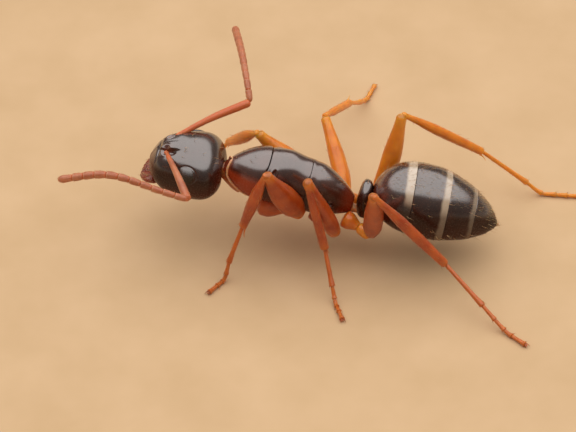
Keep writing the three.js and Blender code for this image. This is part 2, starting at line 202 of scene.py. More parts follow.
class Mesh:
    """Collects closed shells, then makes one object of them."""

    def __init__(self):
        self.points, self.faces, self.marks, self.uvs, self.count = [], [], [], [], 0

    def add(self, points, faces, marks=0.0, uvs=0.0):
        self.points.append(points)
        self.faces.extend([tuple(i + self.count for i in face) for face in faces])
        self.marks.append(np.zeros((len(points), 3)) + marks)
        self.uvs.append(np.zeros((len(points), 2)) + uvs)
        self.count += len(points)

    def shell(self, grid, marks=None, **values):
        """A grid of rings, closed at both ends by a point in the middle of the last ring."""
        marks = marks_like(grid, **values) if marks is None else marks
        points, marks = (np.concatenate([g.reshape(-1, 3), g[0].mean(0)[None], g[-1].mean(0)[None]])
                         for g in (grid, marks))
        rings, sides = grid.shape[:2]
        first, last = rings * sides, rings * sides + 1
        faces = []
        for a in range(0, first - sides, sides):
            for i in range(sides):
                j = (i + 1) % sides
                faces.append((a + i, a + j, a + sides + j, a + sides + i))
        for i in range(sides):
            j = (i + 1) % sides
            faces.append((first, j, i))
            faces.append((last, first - sides + i, first - sides + j))
        volume = 0.0
        centre = points.mean(0)
        for face in faces[:: max(1, len(faces) // 400)]:  # a sample is enough for the sign
            a, b, c = (points[i] - centre for i in face[:3])
            volume += np.dot(a, np.cross(b, c))
        if volume < 0:
            faces = [face[::-1] for face in faces]
        self.add(points, faces, marks)
        return self

    def make(self, name, material, nodes, slot, coat=False):
        """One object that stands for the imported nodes; a coat also gets its map."""
        mesh = bpy.data.meshes.new(name)
        points = (np.concatenate(self.points) + SHIFT) * MM
        mesh.from_pydata(points.tolist(), [], self.faces)
        mesh.polygons.foreach_set("use_smooth", [True] * len(mesh.polygons))
        marks = np.concatenate(self.marks)
        for k, label in enumerate(("pale", "red", "shade")):
            add_layer(mesh, label, marks[:, k])
        if coat:
            uvs = np.concatenate(self.uvs)
            layer = mesh.uv_layers.new(name="OFBake")
            index = np.zeros(len(mesh.loops), np.int32)
            mesh.loops.foreach_get("vertex_index", index)
            layer.data.foreach_set("uv", uvs[index].astype(np.float32).ravel())
        mesh.materials.append(material)
        mesh.validate()
        mesh.update()
        normals = np.zeros(3 * len(mesh.vertices), np.float32)
        mesh.vertices.foreach_get("normal", normals)
        # the clear coat follows which way each surface faces, thin on undersides: painted shade made with
        # gloss
        add_layer(mesh, "top_gloss", ease(normals[2::3], *TOP_GLOSS_RANGE))
        piece = add_object(name, mesh)
        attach(piece, "root")
        if nodes:
            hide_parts(*nodes)


def section(angle, w, up, down, power):
    """Across and upward coordinates of a superellipse."""
    c, s = np.cos(angle), np.sin(angle)
    c = np.sign(c) * np.abs(c) ** (2 / power)
    s = np.sign(s) * np.abs(s) ** (2 / power)
    return w * c, np.where(s > 0, up, down) * s


def body_grid(t, length, profile, angle, power, warp=None):
    """Local grid (along, across, upward) of a body whose profile(t) gives half-width, height and depth.

    warp(t, across, upward) moves the stations along the same surface.
    """
    t = t[:, None] + 0 * angle[None, :]
    across, upward = section(angle, *profile(t), power)
    if warp:
        t = warp(t, across, upward)
        across, upward = section(angle, *profile(t), power)
    return np.stack([t * length, across, upward], -1)


def smooth_path(points, n=160):
    """Samples evenly spaced along a centripetal Catmull-Rom curve through the points."""
    pts = [np.array(p, float) for p in points]
    pts = [2 * pts[0] - pts[1]] + pts + [2 * pts[-1] - pts[-2]]
    fine = []
    for p0, p1, p2, p3 in zip(pts, pts[1:], pts[2:], pts[3:]):
        k0, k1, k2 = (np.linalg.norm(b - a) ** 0.5 for a, b in ((p0, p1), (p1, p2), (p2, p3)))
        m1 = (p1 - p0) / k0 - (p2 - p0) / (k0 + k1) + (p2 - p1) / k1
        m2 = (p2 - p1) / k1 - (p3 - p1) / (k1 + k2) + (p3 - p2) / k2
        m1, m2 = m1 * k1, m2 * k1
        u = np.linspace(0, 1, 60, endpoint=False)[:, None]
        fine.append((2 * u**3 - 3 * u**2 + 1) * p1 + (u**3 - 2 * u**2 + u) * m1
                    + (3 * u**2 - 2 * u**3) * p2 + (u**3 - u**2) * m2)
    fine = np.concatenate(fine + [pts[-2][None]])
    return resample(fine, np.linspace(0, 1, n))


def resample(path, t):
    """Points of a polyline at the shares t of its length."""
    path = np.asarray(path, float)
    run = np.concatenate([[0], np.cumsum(np.linalg.norm(np.diff(path, axis=0), axis=1))])
    return np.stack([np.interp(np.asarray(t) * run[-1], run, path[:, k]) for k in range(3)], -1)


def tube_grid(path, across_radius, up_radius, sides, up=LIMB_UP):
    """Rings of a limb along a path, with half-widths across and along the carried-on up direction."""
    along = unit(np.gradient(path, axis=0))
    angle = turns(sides)[:, None]
    upward = unit(up)
    rings = []
    for p, a, rx, ru in zip(path, along, across_radius, up_radius):
        across = unit(np.cross(a, upward))
        upward = unit(np.cross(across, a))
        rings.append(p + across * rx * np.cos(angle) + upward * ru * np.sin(angle))
    return np.array(rings)


def marks_like(grid, pale=0, red=0, shade=0):
    marks = np.zeros(grid.shape)
    marks[..., 0], marks[..., 1], marks[..., 2] = pale, red, shade
    return marks


def limb(mesh, path, radius, flat=1.0, sides=28, up=LIMB_UP, least=0.002, **marks):
    """Adds a limb flat times as wide as it is high, with least added so that no ring is a point."""
    grid = tube_grid(path, radius * flat + least, radius + least, sides, up)
    mesh.shell(grid, **marks)
    return grid


def straight(a, b, n):
    return a + (b - a) * spread(n)[:, None]


# ---- materials ----
GLOSS = dict(Specular_IOR_Level=0.2, Coat_Weight=1.0, Coat_Roughness=0.21, Coat_IOR=2.3)
SHEEN = dict(Specular_IOR_Level=0.4, Coat_Weight=0.32, Coat_Roughness=0.3, Coat_IOR=1.5)
GROOVE = (0.12, 0.08, 0.07)  # a colour is multiplied by this where the mesh is marked as shaded
CREAM = (0.62, 0.5, 0.36)
DARK, RED_BROWN, AMBER = "dark_cuticle", "red_brown_cuticle", "amber_cuticle"  # slot names, which make() is handed


class Shade:
    """A node material with a Principled shader; methods add the textures and mixes that feed it."""

    def __init__(self, name, **sockets):
        self.material = bpy.data.materials.new(name)
        self.material.use_nodes = True
        self.tree = self.material.node_tree
        self.tree.nodes.clear()
        self.shader = self.node("ShaderNodeBsdfPrincipled")
        output = self.node("ShaderNodeOutputMaterial")
        self.link(self.shader.outputs[0], output.inputs["Surface"])
        self.where = self.node("ShaderNodeTexCoord").outputs["Object"]
        for key, value in sockets.items():
            self.shader.inputs[key.replace("_", " ")].default_value = value

    def node(self, kind):
        return self.tree.nodes.new(kind)

    def link(self, a, b):
        self.tree.links.new(a, b)

    def texture(self, kind, per_mm, **inputs):
        """A texture with about this many features to the millimetre."""
        scale = self.node("ShaderNodeMapping")
        scale.inputs["Scale"].default_value = [per_mm / MM] * 3
        self.link(self.where, scale.inputs["Vector"])
        texture = self.node(kind)
        for key, value in dict(inputs, Scale=1).items():
            texture.inputs[key].default_value = value
        self.link(scale.outputs[0], texture.inputs["Vector"])
        return texture

    def noise(self, per_mm, detail):
        return self.texture("ShaderNodeTexNoise", per_mm, Detail=detail, Roughness=0.55).outputs["Fac"]

    def cells(self, per_mm):
        cells = self.texture("ShaderNodeTexVoronoi", per_mm)
        cells.feature = "DISTANCE_TO_EDGE"
        return cells.outputs["Distance"]

    def attribute(self, label):
        node = self.node("ShaderNodeAttribute")
        node.attribute_name = label
        return node.outputs["Fac"]

    def ranged(self, value, to=(0.0, 1.0), within=(0.3, 0.7)):
        """A value mapped from one range to another; noise lies mostly within 0.3 and 0.7."""
        node = self.node("ShaderNodeMapRange")
        self.link(value, node.inputs["Value"])
        for key, number in zip(("From Min", "From Max", "To Min", "To Max"), (*within, *to)):
            node.inputs[key].default_value = number
        return node.outputs["Result"]

    def mix(self, factor, a, b, blend="MIX"):
        node = self.node("ShaderNodeMix")
        node.data_type = "RGBA"
        node.blend_type = blend
        self.link(factor, node.inputs[0])
        for socket, colour in ((node.inputs[6], a), (node.inputs[7], b)):
            if isinstance(colour, tuple):
                socket.default_value = (*colour, 1)
            else:
                self.link(colour, socket)
        return node.outputs[2]

    def feed(self, label, socket):
        self.link(socket, self.shader.inputs[label])

    def gloss_on_top(self, least=0.0, most=1.0):
        """A clear coat that is least on the underside and most on top: painted shade made with gloss, so
        undersides reflect little.
        """
        self.feed("Coat Weight", self.ranged(self.attribute("top_gloss"), (least, most), (0.0, 1.0)))

    def bumps(self, *layers):
        """Bump layers as (height, strength, depth in mm)."""
        normal = None
        for height, strength, depth in layers:
            node = self.node("ShaderNodeBump")
            node.inputs["Strength"].default_value = strength
            node.inputs["Distance"].default_value = depth * MM
            self.link(height, node.inputs["Height"])
            if normal is not None:
                self.link(normal, node.inputs["Normal"])
            normal = node.outputs[0]
        self.feed("Normal", normal)
        return self.material


def cuticle(name, dark, light, red, pale, rough=(0.2, 0.32), grain=0.03, scatter=0.0, finish=GLOSS):
    """Cuticle with dark to light patches, reddened, paled and shaded where the mesh says."""
    inner = dict(Subsurface_Weight=scatter, Subsurface_Radius=(1, 0.4, 0.2), Subsurface_Scale=0.15 * MM)
    look = Shade(name, **finish, IOR=1.58, **(inner if scatter else {}))
    fine = look.noise(16, 4)
    patches = look.mix(look.ranged(look.noise(2.2, 3), within=(0.35, 0.68)), dark, light)
    reddened = look.mix(look.attribute("red"), patches, red)
    paled = look.mix(look.attribute("pale"), reddened, pale)
    look.feed("Base Color", look.mix(look.attribute("shade"), paled, GROOVE, "MULTIPLY"))
    look.feed("Roughness", look.ranged(fine, rough))
    if finish is GLOSS:
        look.gloss_on_top()
    return look.bumps((look.cells(38), grain, 0.004), (fine, grain, 0.008), (look.noise(4, 2), 0.07, 0.02))


def finely_grained(look, noise, dark, light, rough):
    """Colour, roughness and a slight bump that all follow one fine noise."""
    fine = look.noise(*noise)
    look.feed("Base Color", look.mix(look.ranged(fine), dark, light))
    look.feed("Roughness", look.ranged(fine, rough))
    return look.bumps((fine, 0.1, 0.004))


def eye_material():
    look = Shade("compound_eye", **GLOSS, IOR=1.6)
    look.gloss_on_top(0.03, 0.9)
    return finely_grained(look, (20, 3), (0.012, 0.006, 0.004), (0.04, 0.022, 0.014), (0.14, 0.24))


def hair_material(name, root, tip):
    look = Shade(name, Specular_IOR_Level=0.5, Subsurface_Weight=0.2, Subsurface_Scale=0.05 * MM)
    return finely_grained(look, (9, 2), root, tip, (0.3, 0.45))


black = cuticle("glossy_dark_cuticle", (0.022, 0.0065, 0.004), (0.042, 0.0125, 0.007),
                (0.11, 0.016, 0.005), CREAM)
trunk_look = cuticle("trunk_cuticle", (0.04, 0.0105, 0.006), (0.07, 0.018, 0.009),
                     (0.33, 0.044, 0.012), CREAM)
near_leg = cuticle("leg_cuticle_near", (0.36, 0.046, 0.006), (0.52, 0.095, 0.01), (0.72, 0.21, 0.018),
                   (0.62, 0.27, 0.09), (0.28, 0.42), 0.1, 0.3, SHEEN)
amber_leg = cuticle("joint_amber", (0.62, 0.14, 0.01), (0.78, 0.25, 0.018), (0.82, 0.32, 0.03),
                    (0.75, 0.36, 0.1), (0.25, 0.38), 0.1, 0.4, SHEEN)
# the far legs' cuticle is the near legs' cuticle painted lighter and more orange: painted light, for light
# shining through the far legs from behind
far_leg_painted_backlight = cuticle("leg_cuticle_far_painted_backlight", (0.7, 0.18, 0.006), (0.84, 0.27, 0.012), (0.88, 0.37, 0.02),
                  (0.75, 0.36, 0.1), (0.28, 0.42), 0.1, 0.4, SHEEN)
feeler = cuticle("feeler_cuticle_skin", (0.42, 0.12, 0.052), (0.56, 0.2, 0.09), (0.66, 0.13, 0.022),
                 (0.66, 0.32, 0.17), (0.36, 0.5), 0.12, 0.3, SHEEN)
jaw = cuticle("jaw_cuticle", (0.2, 0.024, 0.007), (0.3, 0.042, 0.012), (0.02, 0.008, 0.006), CREAM,
              finish=SHEEN)
membrane = cuticle("joint_membrane", (0.6, 0.15, 0.02), (0.75, 0.26, 0.045), (0.35, 0.06, 0.02),
                   (0.85, 0.5, 0.3), (0.3, 0.45), 0.12, 0.5, SHEEN)
eye_look = eye_material()
golden = hair_material("golden_hair", (0.5, 0.24, 0.09), (0.78, 0.52, 0.28))
dusky = hair_material("dusky_hair", (0.1, 0.045, 0.025), (0.26, 0.14, 0.08))
tawny = hair_material("tawny_hair", (0.42, 0.15, 0.04), (0.62, 0.3, 0.12))


# ---- hairs: thin curved cones, each with its own patch of the coat's map ----
HAIR_STEPS = np.array([0, 0.35, 0.7, 1.0])  # along a hair
HAIR_TAPER = np.array([1, 0.8, 0.5, 0.05])  # share of its thickness that is left at each step
HAIR_SIDES = 3
HAIR_FACES = [(r * 3 + i, r * 3 + (i + 1) % 3, r * 3 + 3 + (i + 1) % 3, r * 3 + 3 + i)
              for r in range(3) for i in range(3)] + [(2, 1, 0), (9, 10, 11)]
PATCH = 0.0015 * np.array([[math.cos(TAU * i / 3), math.sin(TAU * i / 3)] for i in range(3)])
PATCH_RINGS = (1, 0.75, 0.5, 0.25)  # size of each step's ring in that patch
MAP_SIDE, MAP_MARGIN = 8, 0.08  # squares along a side of the map, and the rim left in each
SQUARE = Named(head=0, jaws=1, trunk=2, petiole=5, gaster=8, acid_pore=13, legs=16, feelers=40)
MOST_TRIES = 30  # for each hair


class Coat(Mesh):
    def hair(self, root, lie, stand, length, thick, uv):
        """A hair from root that leaves along stand and bends over towards lie."""
        steps = HAIR_STEPS[:, None]
        rise, fall = steps - 0.35 * steps**2, steps**2
        line = root - stand * thick * 0.6 + length * (stand * rise + lie * 0.55 * fall)
        line[:, 2] = np.maximum(line[:, 2], thick + 0.002)  # none goes through the floor
        radius = thick * HAIR_TAPER
        grid = tube_grid(line, radius, radius, HAIR_SIDES, up=np.cross(stand, lie) + 1e-3)
        uvs = np.concatenate([np.array(uv) + PATCH * k for k in PATCH_RINGS])
        self.add(grid.reshape(-1, 3), HAIR_FACES, uvs=uvs)

    def cover(self, grid, count, length, thick, square, where=None, *, stand, flow=1, jitter=0.25):
        """Scatter hairs over a grid, of about this length and thickness.

        where(v, w) says whether one may grow at the share v of the rings and w of the way round. stand is
        0 for hairs that lie flat and 1 for upright ones, flow is 1 where they lie towards the last ring
        and -1 towards the first, and square is their place in the map.
        """
        normal = grid_normals(grid)
        run = unit(np.gradient(grid, axis=0)) * flow
        area = np.linalg.norm(np.cross(grid[1:] - grid[:-1], (np.roll(grid, -1, 1) - grid)[:-1]), axis=-1)
        area /= area.max()
        rings, sides = grid.shape[:2]
        made = tries = 0
        while made < count and tries < count * MOST_TRIES:
            tries += 1
            r, s = draw.random() * (rings - 1), draw.random() * sides
            i, j = int(r), int(s) % sides
            if where is not None and draw.random() > where(r / (rings - 1), s / sides):
                continue
            if draw.random() > area[i, j]:
                continue
            wobble = unit(draw.normal(size=3)) * jitter
            up = unit(normal[i, j] * stand + run[i, j] * (1 - stand) + wobble * 0.5)
            lie = unit(run[i, j] + wobble)
            root = grid[i, j] + (grid[i + 1, j] - grid[i, j]) * (r - i)
            u, v = (MAP_MARGIN + (1 - 2 * MAP_MARGIN) * x for x in (s / sides, r / (rings - 1)))
            uv = ((square % MAP_SIDE + u) / MAP_SIDE, (square // MAP_SIDE + v) / MAP_SIDE)
            self.hair(root, lie, up, length * draw.uniform(0.65, 1.15), thick, uv)
            made += 1


body_coat, down_coat, leg_coat, feeler_coat = Coat(), Coat(), Coat(), Coat()


# ---- head ----
def head_profile(t):
    s = (t - 0.5) * 2
    nape = np.maximum(0, 1 - share(s, HEAD_WIDEST, -1) ** 2.6) ** (1 / 2.3)
    crown = np.maximum(0, 1 - share(s, -0.1, -1) ** 2.4) ** (1 / 2.2)
    face = np.maximum(0, 1 - share(s, 0, 1) ** 7) ** 0.5
    w = HEAD.width / 2 * nape * (1 - HEAD_TAPER.sides * share(s, HEAD_WIDEST, 1) ** 1.7) * face
    up = HEAD.top * crown * (1 - HEAD_TAPER.face * share(s, -0.1, 1) ** 2.6) * face
    down = HEAD.bottom * crown * (1 - HEAD_TAPER.throat * share(s, -0.1, 1) ** 1.9) * face
    return w, up, down


def eye_distance(a, side, u):
    """1 on the rim of the eye, measured in the plane of the eye."""
    lift = (u - EYE.up) * EYE_OUT[1] - (side - EYE.side) * EYE_OUT[2]
    return np.hypot((a - EYE.along) / EYE.long, lift / EYE.wide)


def head_relief(a, x, u):
    side = np.abs(x)
    top = ease(u, 0.1, 0.4)
    socket = np.hypot(a - SOCKET[0], side - SOCKET[1])
    # the fossa behind each socket, the socket's pit and its raised ring
    d = -0.085 * bump(a, 0.34, 0.14) * bump(side, 0.38, 0.08) * top
    d -= 0.07 * bump(socket, 0, 0.1) * top
    d += 0.02 * bump(socket, 0.15, 0.04) * top
    # frontal carinae: S-shaped lobes that overhang the fossae from the inner side
    line = 0.15 + 0.10 * ease(-a, -0.74, -0.42) + 0.04 * ease(-a, -0.42, 0.0)
    off = side - line
    lobe = np.where(off < 0, 1, bump(off, 0, 0.042))
    d += 0.055 * lobe * ease(a, -0.08, 0.2) * ease(-a, -0.78, -0.6) * top
    d -= 0.006 * bump(x, 0, 0.03) * ease(a, 0.0, 0.2) * ease(-a, -0.7, -0.6) * top
    # clypeus: a low dome with a keel, behind it a seam that arches between the sockets
    seam = 0.72 + 0.9 * np.maximum(0, side - 0.16) ** 2
    inside = ease(a - seam, -0.03, 0.1) * top
    d += (0.025 * bump(x, 0, 0.4) + 0.012 * bump(x, 0, 0.05)) * inside
    d -= 0.013 * bump(a - seam, 0, 0.024) * top * ease(-side, -0.6, -0.45)
    # seat of the eye, cheeks and temples
    rim = eye_distance(a, side, u)
    d -= 0.012 * bump(rim, 1.0, 0.08) * ease(u, -0.3, 0.0)
    d += 0.02 * bump(a, -0.55, 0.3) * bump(side, 0.8, 0.3)
    # hollow round the neck, and the mouth's slot below
    d -= 0.10 * bump(a, -1.1, 0.16) * bump(side, 0, 0.32) * ease(-u, -0.35, 0.05)
    below = ease(-u, 0.3, 0.5)
    d -= 0.09 * bump(side, 0, 0.2) * ease(a, 0.25, 0.6) * below
    d += 0.02 * bump(side, 0.26, 0.05) * ease(a, 0.2, 0.6) * below
    d -= 0.014 * bump(x, 0, 0.02) * below * ease(-a, -0.3, 0.0)
    return d


def head_grid(rings=230, sides=400):
    """Rings of the head, closer together on the face, where the relief is."""
    fine = np.linspace(-0.998, 0.998, 4000)
    dense = np.cumsum(1 / np.sqrt(1.02 - fine**2) + 1.2 * ease(fine, -0.2, 0.1) * ease(-fine, -0.9, -0.7))
    s = np.interp(np.linspace(0, 1, rings), (dense - dense[0]) / (dense[-1] - dense[0]), fine)
    turn = turns(sides)
    grid = body_grid((s + 1) / 2, HEAD.length, head_profile, turn + 0.5 * np.cos(turn), SQUARENESS.head)
    grid[..., 0] -= HEAD.length / 2
    a, x, u = np.moveaxis(grid, -1, 0)
    a -= 0.2 * ease(-u, -0.12, 0.42) * ease(a, 0.45, 1.08)
    a += 0.03 * bump(x, 0, 0.3) * ease(u, 0.0, 0.25) * ease(a, 0.9, 1.08)
    grid = np.stack([a, x, u], -1)
    return grid + grid_normals(grid) * head_relief(a, x, u)[..., None]


def make_head():
    local = head_grid()
    a, x, u = np.moveaxis(local, -1, 0)
    socket = np.hypot(a - SOCKET[0], np.abs(x) - SOCKET[1])
    red = 0.9 * bump(socket, 0, 0.16) * ease(u, 0.1, 0.3) + 0.85 * ease(a, 0.74, 1.0)
    red += 0.6 * ease(-u, -0.3, 0.4) + 0.3 * ease(-a, 0.85, 1.08)
    grid = head.place(local)
    Mesh().shell(grid, red=np.clip(red, 0, 1)).make("head_capsule", black, ["head"], DARK)
    square = SQUARE.head
    body_coat.cover(grid, 14, 0.19, 0.006, square, lambda v, w: 0.1 < w < 0.4 and 0.08 < v < 0.8,
                    stand=0.85, flow=-1)
    down_coat.cover(grid, 300, 0.045, 0.0015, square, stand=0.12)
    body_coat.cover(grid, 26, 0.2, 0.007, square, lambda v, w: v > 0.92, stand=0.5)


LENS_PITCH = 0.03
LENS_RISE = 0.0055
LENS_ROW = 0.866  # distance of one row of hexagons from the next, in pitches
EYE_DEPTH = 1.15  # how far the dome goes, past its rim at 1


def lens_relief(x, y):
    """How high the eye's small lenses stand, in hexagons on a flat map of it."""
    row = np.round(y / (LENS_PITCH * LENS_ROW))
    near = np.full(x.shape, np.inf)
    for r in (row - 1, row, row + 1):
        offset = (r % 2) * 0.5
        column = np.round(x / LENS_PITCH - offset) + offset
        near = np.minimum(near, np.hypot(x - column * LENS_PITCH, y - r * LENS_PITCH * LENS_ROW))
    return LENS_RISE * (1 - np.clip(near / (LENS_PITCH * 0.58), 0, 1) ** 2)


def make_eye(tag, side):
    """A low dome of lenses, set in the side of the head."""
    outward = unit(np.array(EYE_OUT) * (1, side, 1) @ head.axes)
    along = head.axes[0]
    lift = unit(np.cross(along, outward))
    centre = head.place((EYE.along, side * EYE.side, EYE.up))
    phi = turns(200)[None, :]
    polar = np.linspace(0.012, 1, 90)[:, None] * 0.5 * math.pi * EYE_DEPTH
    x = EYE.long * np.sin(polar) * np.cos(phi)
    y = EYE.wide * np.sin(polar) * np.sin(phi)
    z = EYE.deep * np.cos(polar) + 0 * phi
    lens = lens_relief(EYE.long * polar * np.cos(phi), EYE.wide * polar * np.sin(phi))
    size = 1 + lens / EYE.deep
    points = centre + (along * x[..., None] + lift * y[..., None] + outward * z[..., None]) * size[..., None]
    Mesh().shell(points).make(f"compound_eye_{tag}", eye_look, [f"eye_{tag}"], "eye")


TEETH = 5


def make_jaw(tag, side):
    """A curved triangular blade with teeth on its inner edge."""
    rings = 90
    t = np.linspace(0, 1, rings)
    outer = [(-0.24, 0.55, -0.16), (0.05, 0.53, -0.22), (0.25, 0.32, -0.33), (0.34, -0.03, -0.46)]
    inner = [(-0.26, 0.16, -0.3), (-0.1, 0.12, -0.36), (0, 0.02, -0.4), (0.34, -0.04, -0.48)]
    outer, inner = (smooth_path(np.array(edge) + (HEAD.length / 2, 0, 0), rings) for edge in (outer, inner))
    tooth = ease(t, 0.5, 0.6) * (0.5 - 0.5 * np.cos(TAU * TEETH * share(t, 0.5, 1.0))) * (1 - 0.3 * t)
    inner = inner + np.array([0.012, -0.062, -0.012]) * tooth[:, None]
    middle, half = (outer + inner) / 2, (inner - outer) / 2
    thick = (0.14 - 0.09 * t) * dome(t, 0.12, 0.05) + 0.006
    angle = turns(40)
    upward = unit(np.cross(half, np.gradient(middle, axis=0)))
    upward *= np.where(upward[:, 2:] < 0, -1, 1)
    shrink = dome(t, 0.12, 0.04)[:, None, None]
    grid = (middle[:, None] + half[:, None] * np.cos(angle)[None, :, None] * shrink
            + upward[:, None] * (thick[:, None] * np.sin(angle)[None, :])[..., None])
    grid[..., 2] += 0.05 * (1 - np.linspace(-1, 1, rings)[:, None] ** 2)
    grid[..., 1] *= side
    grid = head.place(grid)
    red = 0.95 * ease(t, 0.5, 0.75)[:, None] * ease(np.cos(angle)[None, :], 0.3, 0.95)
    Mesh().shell(grid, red=red).make(f"jaw_{tag}", jaw, [f"mandible_{tag}"], RED_BROWN)
    body_coat.cover(grid, 22, 0.13, 0.006, SQUARE.jaws, lambda v, w: 0.1 < v < 0.7 and w < 0.5, stand=0.5)


# points in the head, thickness and joints of the outer and the inner palp
PALPS = (
    (((0.72, 0.17, -0.6), (0.5, 0.24, -0.74), (0.1, 0.3, -0.82), (-0.28, 0.33, -0.8)), 0.032, 5),
    (((0.8, 0.07, -0.58), (0.62, 0.09, -0.7), (0.42, 0.11, -0.74)), 0.026, 3),
)


def make_mouth():
    """Palps folded back below the mouth, and the lip between them."""
    palps = Mesh()
    for side in (-1, 1):
        for points, thick, joints in PALPS:
            path = head.place(smooth_path(points) * (1, side, 1))
            for k in range(joints):
                part = resample(path, np.clip(spread(14, k / joints, (k + 1) / joints + 0.01), 0, 1))
                limb(palps, part, thick * (1 - 0.4 * k / joints) * dome(spread(14), 0.3), sides=10, red=0.4)
    t = spread(24)
    path = np.stack([0.45 + 0.42 * t, 0 * t, -0.56 + 0.06 * t], -1)
    r = 0.13 * dome(t, 0.3)
    palps.shell(tube_grid(head.place(path), r + 0.003, r * 0.7 + 0.003, 24))
    palps.make("palps_and_lip", membrane, (), RED_BROWN)


# ---- trunk ----
trunk = Axes.between(TRUNK_NECK, TRUNK_REAR)
TRUNK_LENGTH = float(np.linalg.norm(np.subtract(TRUNK_REAR, TRUNK_NECK)))
PLATE_GAP = 0.0016  # each plate's share of the gap to the next, in trunk lengths
FAINT_SEAM = 0.2  # how dark the seam between the two hind plates is, next to the others


def trunk_profile(t):
    rise = 1 - share(-t, -0.27, 0.03) ** 2
    fall = (1 - share(t, 0.7, 1.02) ** 2) ** 0.9
    belly = (1 - share(-t, -0.27, 0.05) ** 2) ** 0.8 * (1 - share(t, 0.84, 1.06) ** 2) ** 0.6
    up = 0.1 + rise * fall * (0.735 + 0.31 * bump(t, 0.5, 0.22) - 0.1 * bump(t, 0.56, 0.09))
    down = 0.08 + 0.42 * belly
    w = 0.16 + rise * (0.556 * bump(t, 0.22, 0.32) + 0.462 * bump(t, 0.7, 0.32) * fall)
    return w, up, down


def trunk_bow(t, across, upward):
    """The pronotum's hind edge bows forward where it comes down the side."""
    return t - 0.03 * bump(t, 0.3, 0.08) * bump(upward, 0.42, 0.3)


def shell_stations(low, high, n=70, lip=0.004):
    """Stations along a plate, with extra rings at its two edges."""
    middle = np.linspace(low + lip, high - lip, n)
    return np.concatenate([[low, low + lip * 0.5], middle, [high - lip * 0.5, high]])


def close_ends(grid, marks, lips=(0.985, 0.9)):
    """Walls that turn in at both ends of a plate."""
    def wall(ring):
        middle = ring.mean(0)
        return [middle + (ring - middle) * k for k in lips]

    first, last = wall(grid[0])[::-1], wall(grid[-1])
    grid = np.concatenate([first, grid, last])
    dark = marks_like(np.array(first), shade=1.0)
    return grid, np.concatenate([dark, marks, dark])


def level(local):
    """Degrees up from the side, of points round a body."""
    return np.degrees(np.arctan2(local[..., 2], np.abs(local[..., 1]) + 1e-9))


def pore(t, angle, at, height, long, tall):
    """1 on the rim of a breathing pore at station at and this height, long in mm and tall in degrees."""
    return np.hypot((t - at) * TRUNK_LENGTH / long, (angle - height) / tall)


# each adds a plate's relief to d and returns how red the plate is
def pronotum_relief(d, t, angle):
    seam = -16 - 40 * (t - 0.1)
    d -= 0.03 * bump(angle, seam, 4.5) * ease(t, 0.03, 0.08)
    d += 0.03 * ease(angle, seam, seam + 12) * ease(t, 0.0, 0.05)
    return 0.95 * ease(-angle, -42, -18) + 0.55 * bump(t, -0.01, 0.05)


def mesothorax_relief(d, t, angle):
    seam = 38 - 50 * (t - 0.3)
    d -= 0.022 * bump(angle, seam, 3.2) * ease(t, 0.33, 0.37)
    d -= 0.035 * bump(t, 0.355, 0.012) * bump(angle, 52, 7)
    d += 0.022 * bump(pore(t, angle, 0.355, 52, 0.07, 9), 1, 0.3)
    d -= 0.018 * bump(t, 0.5 + 0.0012 * (angle + 20), 0.007) * ease(-angle, -30, 0)
    d += 0.03 * bump(t, 0.44, 0.09) * bump(angle, 0, 26)
    return 0.4 * ease(-angle, -20, 40)


def propodeum_relief(d, t, angle):
    d -= 0.012 * bump(t, 0.665, 0.025) * ease(angle, 20, 50)
    front, rear = pore(t, angle, 0.655, 44, 0.06, 8), pore(t, angle, 0.83, 14, 0.085, 9)
    d += 0.022 * bump(front, 1, 0.35) - 0.03 * bump(front, 0, 0.5)
    d += 0.03 * bump(rear, 1, 0.35) - 0.045 * bump(rear, 0, 0.5)
    d -= 0.02 * bump(angle, -6 + 60 * (t - 0.62), 3.5) * ease(-t, -0.86, -0.8)
    return 0.35 * ease(-angle, -10, 45) + 0.7 * ease(t, 0.85, 1.0)


TRUNK_PLATES = (("pronotum", -0.02, 0.3, pronotum_relief), ("mesothorax", 0.3, 0.62, mesothorax_relief),
                ("propodeum", 0.62, 1.0, propodeum_relief))


def make_trunk():
    for k, (name, low, high, relief) in enumerate(TRUNK_PLATES):
        stations = shell_stations(low + (PLATE_GAP if k else 0), high - PLATE_GAP)
        local = body_grid(stations, TRUNK_LENGTH, trunk_profile, turns(240), SQUARENESS.trunk, trunk_bow)
        t = stations[:, None]
        angle = level(local)
        edge = np.minimum(np.where(k == 0, 1, np.abs(t - low)), np.abs(t - high)) * TRUNK_LENGTH
        turned_in = np.where((k == 0) | ((k == 1) & (t < 0.45)), 0.012, 0.005)
        d = -turned_in * bump(edge, 0, 0.02) + 0 * angle
        red = np.clip(relief(d, t, angle), 0, 1)
        local = local + grid_normals(local) * d[..., None]
        marks = marks_like(local, red=red, shade=0.85 * bump(edge, 0, 0.012))
        half = len(marks) // 2
        if k == 1:
            marks[half:, :, 2] *= FAINT_SEAM
        if k == 2:
            marks[:half, :, 2] *= FAINT_SEAM
        grid, marks = close_ends(trunk.place(local), marks)
        slot = DARK if k else RED_BROWN
        Mesh().shell(grid, marks).make(f"{name}_plate", trunk_look, [name], slot)
        square = SQUARE.trunk + k
        down_coat.cover(grid, 160, 0.045, 0.0015, square, stand=0.1)
        if name != "mesothorax":
            body_coat.cover(grid, 7, 0.18, 0.006, square, lambda v, w: 0.15 < w < 0.35, stand=0.9)


